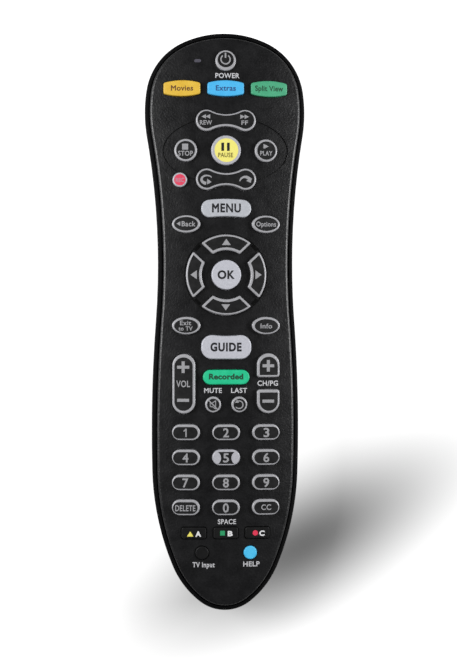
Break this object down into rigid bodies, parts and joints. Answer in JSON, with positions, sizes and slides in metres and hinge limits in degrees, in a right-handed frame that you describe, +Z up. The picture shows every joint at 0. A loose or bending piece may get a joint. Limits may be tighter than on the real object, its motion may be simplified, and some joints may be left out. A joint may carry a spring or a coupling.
{
  "type": "cable box remote control",
  "caption": "Long black remote control with a waisted casing, a crowned face plate of sprung push keys and rockers, and a sliding battery door underneath.",
  "frame": {"origin": "under the middle of the casing, on the surface that it lies on", "axes": "+X across to the right of someone holding it, +Y along it towards the head with the power key, +Z up out of the face"},
  "size_m": [0.061, 0.22, 0.0291],
  "materials": {
    "case_plastic": "smooth satin black",
    "face_plastic": "fine textured charcoal",
    "window_plastic": "gloss, infrared clear",
    "board_laminate": "green lacquered laminate",
    "silicone": "moulded silicone",
    "carbon": "conductive carbon rubber",
    "light_guide": "smoked clear",
    "lamp_resin": "tinted resin",
    "screw_steel": "zinc plated",
    "cell_can": "printed sleeve over a can",
    "contact_steel": "nickel plated",
    "chip_plastic": "moulded epoxy",
    "component_can": "drawn can",
    "ringed_key": "silver painted, black top",
    "silver_key": "silver painted",
    "black_key": "satin black",
    "amber_key": "satin",
    "blue_key": "satin",
    "green_key": "satin",
    "emerald_key": "satin"
  },
  "bodies": {
    "casing": {"battery_cells": "cell_can", "battery_contacts": "contact_steel", "battery_springs": "contact_steel", "board_parts": "component_can", "case_screws": "screw_steel", "circuit_board": "board_laminate", "contact_pills": "carbon", "controller_chip": "chip_plastic", "infrared_lamps": "lamp_resin", "ir_window": "window_plastic", "keypad_mat": "silicone", "rear_case": "case_plastic", "status_light": "light_guide", "top_case": "face_plastic"},
    "door": {"battery_door": "case_plastic"},
    "0_key": {"key_0": "ringed_key"},
    "1_key": {"key_1": "ringed_key"},
    "2_key": {"key_2": "ringed_key"},
    "3_key": {"key_3": "ringed_key"},
    "4_key": {"key_4": "ringed_key"},
    "5_key": {"key_5": "ringed_key"},
    "6_key": {"key_6": "ringed_key"},
    "7_key": {"key_7": "ringed_key"},
    "8_key": {"key_8": "ringed_key"},
    "9_key": {"key_9": "ringed_key"},
    "a_key": {"key_a": "black_key"},
    "amber_key": {"key_amber": "amber_key"},
    "b_key": {"key_b": "black_key"},
    "back_key": {"key_back": "ringed_key"},
    "blue_key": {"key_blue": "blue_key"},
    "c_key": {"key_c": "black_key"},
    "captions_key": {"key_captions": "ringed_key"},
    "channel_down_key": {"key_channel_down": "ringed_key"},
    "channel_up_key": {"key_channel_up": "ringed_key"},
    "delete_key": {"key_delete": "ringed_key"},
    "down_key": {"key_down": "ringed_key"},
    "exit_key": {"key_exit": "ringed_key"},
    "green_key": {"key_green": "green_key"},
    "guide_key": {"key_guide": "silver_key"},
    "help_key": {"key_help": "blue_key"},
    "info_key": {"key_info": "ringed_key"},
    "input_key": {"key_input": "black_key"},
    "last_key": {"key_last": "ringed_key"},
    "left_key": {"key_left": "ringed_key"},
    "list_key": {"key_list": "emerald_key"},
    "menu_key": {"key_menu": "silver_key"},
    "mute_key": {"key_mute": "ringed_key"},
    "ok_key": {"key_ok": "silver_key"},
    "options_key": {"key_options": "ringed_key"},
    "pause_key": {"key_pause": "ringed_key"},
    "play_key": {"key_play": "ringed_key"},
    "power_key": {"key_power": "ringed_key"},
    "record_key": {"key_record": "ringed_key"},
    "right_key": {"key_right": "ringed_key"},
    "stop_key": {"key_stop": "ringed_key"},
    "up_key": {"key_up": "ringed_key"},
    "rewind_rocker": {"key_rewind": "ringed_key"},
    "replay_rocker": {"key_replay": "ringed_key"},
    "volume_rocker": {"key_volume": "ringed_key"}
  },
  "joints": [
    {"name": "door_slide", "type": "slide", "parent": "casing", "child": "door", "axis": [0, -1, 0], "range_m": [0, 0.06]},
    {"name": "press_0", "type": "slide", "parent": "casing", "child": "0_key", "axis": [0, 0, -1], "range_m": [0, 0.0006], "stiffness_N_per_m": 1500},
    {"name": "press_1", "type": "slide", "parent": "casing", "child": "1_key", "axis": [0, 0, -1], "range_m": [0, 0.0006], "stiffness_N_per_m": 1500},
    {"name": "press_2", "type": "slide", "parent": "casing", "child": "2_key", "axis": [0, 0, -1], "range_m": [0, 0.0006], "stiffness_N_per_m": 1500},
    {"name": "press_3", "type": "slide", "parent": "casing", "child": "3_key", "axis": [0, 0, -1], "range_m": [0, 0.0006], "stiffness_N_per_m": 1500},
    {"name": "press_4", "type": "slide", "parent": "casing", "child": "4_key", "axis": [0, 0, -1], "range_m": [0, 0.0006], "stiffness_N_per_m": 1500},
    {"name": "press_5", "type": "slide", "parent": "casing", "child": "5_key", "axis": [0, 0, -1], "range_m": [0, 0.0006], "stiffness_N_per_m": 1500},
    {"name": "press_6", "type": "slide", "parent": "casing", "child": "6_key", "axis": [0, 0, -1], "range_m": [0, 0.0006], "stiffness_N_per_m": 1500},
    {"name": "press_7", "type": "slide", "parent": "casing", "child": "7_key", "axis": [0, 0, -1], "range_m": [0, 0.0006], "stiffness_N_per_m": 1500},
    {"name": "press_8", "type": "slide", "parent": "casing", "child": "8_key", "axis": [0, 0, -1], "range_m": [0, 0.0006], "stiffness_N_per_m": 1500},
    {"name": "press_9", "type": "slide", "parent": "casing", "child": "9_key", "axis": [0, 0, -1], "range_m": [0, 0.0006], "stiffness_N_per_m": 1500},
    {"name": "press_a", "type": "slide", "parent": "casing", "child": "a_key", "axis": [0, 0, -1], "range_m": [0, 0.0006], "stiffness_N_per_m": 1500},
    {"name": "press_amber", "type": "slide", "parent": "casing", "child": "amber_key", "axis": [0, 0, -1], "range_m": [0, 0.0006], "stiffness_N_per_m": 1500},
    {"name": "press_b", "type": "slide", "parent": "casing", "child": "b_key", "axis": [0, 0, -1], "range_m": [0, 0.0006], "stiffness_N_per_m": 1500},
    {"name": "press_back", "type": "slide", "parent": "casing", "child": "back_key", "axis": [0, 0, -1], "range_m": [0, 0.0006], "stiffness_N_per_m": 1500},
    {"name": "press_blue", "type": "slide", "parent": "casing", "child": "blue_key", "axis": [0, 0, -1], "range_m": [0, 0.0006], "stiffness_N_per_m": 1500},
    {"name": "press_c", "type": "slide", "parent": "casing", "child": "c_key", "axis": [0, 0, -1], "range_m": [0, 0.0006], "stiffness_N_per_m": 1500},
    {"name": "press_captions", "type": "slide", "parent": "casing", "child": "captions_key", "axis": [0, 0, -1], "range_m": [0, 0.0006], "stiffness_N_per_m": 1500},
    {"name": "press_channel_down", "type": "slide", "parent": "casing", "child": "channel_down_key", "axis": [0, 0, -1], "range_m": [0, 0.0006], "stiffness_N_per_m": 1500},
    {"name": "press_channel_up", "type": "slide", "parent": "casing", "child": "channel_up_key", "axis": [0, 0, -1], "range_m": [0, 0.0006], "stiffness_N_per_m": 1500},
    {"name": "press_delete", "type": "slide", "parent": "casing", "child": "delete_key", "axis": [0, 0, -1], "range_m": [0, 0.0006], "stiffness_N_per_m": 1500},
    {"name": "press_down", "type": "slide", "parent": "casing", "child": "down_key", "axis": [0, 0, -1], "range_m": [0, 0.0006], "stiffness_N_per_m": 1500},
    {"name": "press_exit", "type": "slide", "parent": "casing", "child": "exit_key", "axis": [0, 0, -1], "range_m": [0, 0.0006], "stiffness_N_per_m": 1500},
    {"name": "press_green", "type": "slide", "parent": "casing", "child": "green_key", "axis": [0, 0, -1], "range_m": [0, 0.0006], "stiffness_N_per_m": 1500},
    {"name": "press_guide", "type": "slide", "parent": "casing", "child": "guide_key", "axis": [0, 0, -1], "range_m": [0, 0.0006], "stiffness_N_per_m": 1500},
    {"name": "press_help", "type": "slide", "parent": "casing", "child": "help_key", "axis": [0, 0, -1], "range_m": [0, 0.0006], "stiffness_N_per_m": 1500},
    {"name": "press_info", "type": "slide", "parent": "casing", "child": "info_key", "axis": [0, 0, -1], "range_m": [0, 0.0006], "stiffness_N_per_m": 1500},
    {"name": "press_input", "type": "slide", "parent": "casing", "child": "input_key", "axis": [0, 0, -1], "range_m": [0, 0.0006], "stiffness_N_per_m": 1500},
    {"name": "press_last", "type": "slide", "parent": "casing", "child": "last_key", "axis": [0, 0, -1], "range_m": [0, 0.0006], "stiffness_N_per_m": 1500},
    {"name": "press_left", "type": "slide", "parent": "casing", "child": "left_key", "axis": [0, 0, -1], "range_m": [0, 0.0006], "stiffness_N_per_m": 1500},
    {"name": "press_list", "type": "slide", "parent": "casing", "child": "list_key", "axis": [0, 0, -1], "range_m": [0, 0.0006], "stiffness_N_per_m": 1500},
    {"name": "press_menu", "type": "slide", "parent": "casing", "child": "menu_key", "axis": [0, 0, -1], "range_m": [0, 0.0006], "stiffness_N_per_m": 1500},
    {"name": "press_mute", "type": "slide", "parent": "casing", "child": "mute_key", "axis": [0, 0, -1], "range_m": [0, 0.0006], "stiffness_N_per_m": 1500},
    {"name": "press_ok", "type": "slide", "parent": "casing", "child": "ok_key", "axis": [0, 0, -1], "range_m": [0, 0.0006], "stiffness_N_per_m": 1500},
    {"name": "press_options", "type": "slide", "parent": "casing", "child": "options_key", "axis": [0, 0, -1], "range_m": [0, 0.0006], "stiffness_N_per_m": 1500},
    {"name": "press_pause", "type": "slide", "parent": "casing", "child": "pause_key", "axis": [0, 0, -1], "range_m": [0, 0.0006], "stiffness_N_per_m": 1500},
    {"name": "press_play", "type": "slide", "parent": "casing", "child": "play_key", "axis": [0, 0, -1], "range_m": [0, 0.0006], "stiffness_N_per_m": 1500},
    {"name": "press_power", "type": "slide", "parent": "casing", "child": "power_key", "axis": [0, 0, -1], "range_m": [0, 0.0006], "stiffness_N_per_m": 1500},
    {"name": "press_record", "type": "slide", "parent": "casing", "child": "record_key", "axis": [0, 0, -1], "range_m": [0, 0.0006], "stiffness_N_per_m": 1500},
    {"name": "press_right", "type": "slide", "parent": "casing", "child": "right_key", "axis": [0, 0, -1], "range_m": [0, 0.0006], "stiffness_N_per_m": 1500},
    {"name": "press_stop", "type": "slide", "parent": "casing", "child": "stop_key", "axis": [0, 0, -1], "range_m": [0, 0.0006], "stiffness_N_per_m": 1500},
    {"name": "press_up", "type": "slide", "parent": "casing", "child": "up_key", "axis": [0, 0, -1], "range_m": [0, 0.0006], "stiffness_N_per_m": 1500},
    {"name": "tilt_rewind", "type": "hinge", "parent": "casing", "child": "rewind_rocker", "pos_m": [0, 0.0763, 0.0199], "axis": [0, 1, 0], "range_deg": [-2.5, 2.5], "stiffness_Nm_per_rad": 0.2},
    {"name": "tilt_replay", "type": "hinge", "parent": "casing", "child": "replay_rocker", "pos_m": [0, 0.0539, 0.0199], "axis": [0, 1, 0], "range_deg": [-2.5, 2.5], "stiffness_Nm_per_rad": 0.2},
    {"name": "tilt_volume", "type": "hinge", "parent": "casing", "child": "volume_rocker", "pos_m": [-0.016, -0.0235, 0.0199], "axis": [1, 0, 0], "range_deg": [-2.5, 2.5], "stiffness_Nm_per_rad": 0.2}
  ]
}
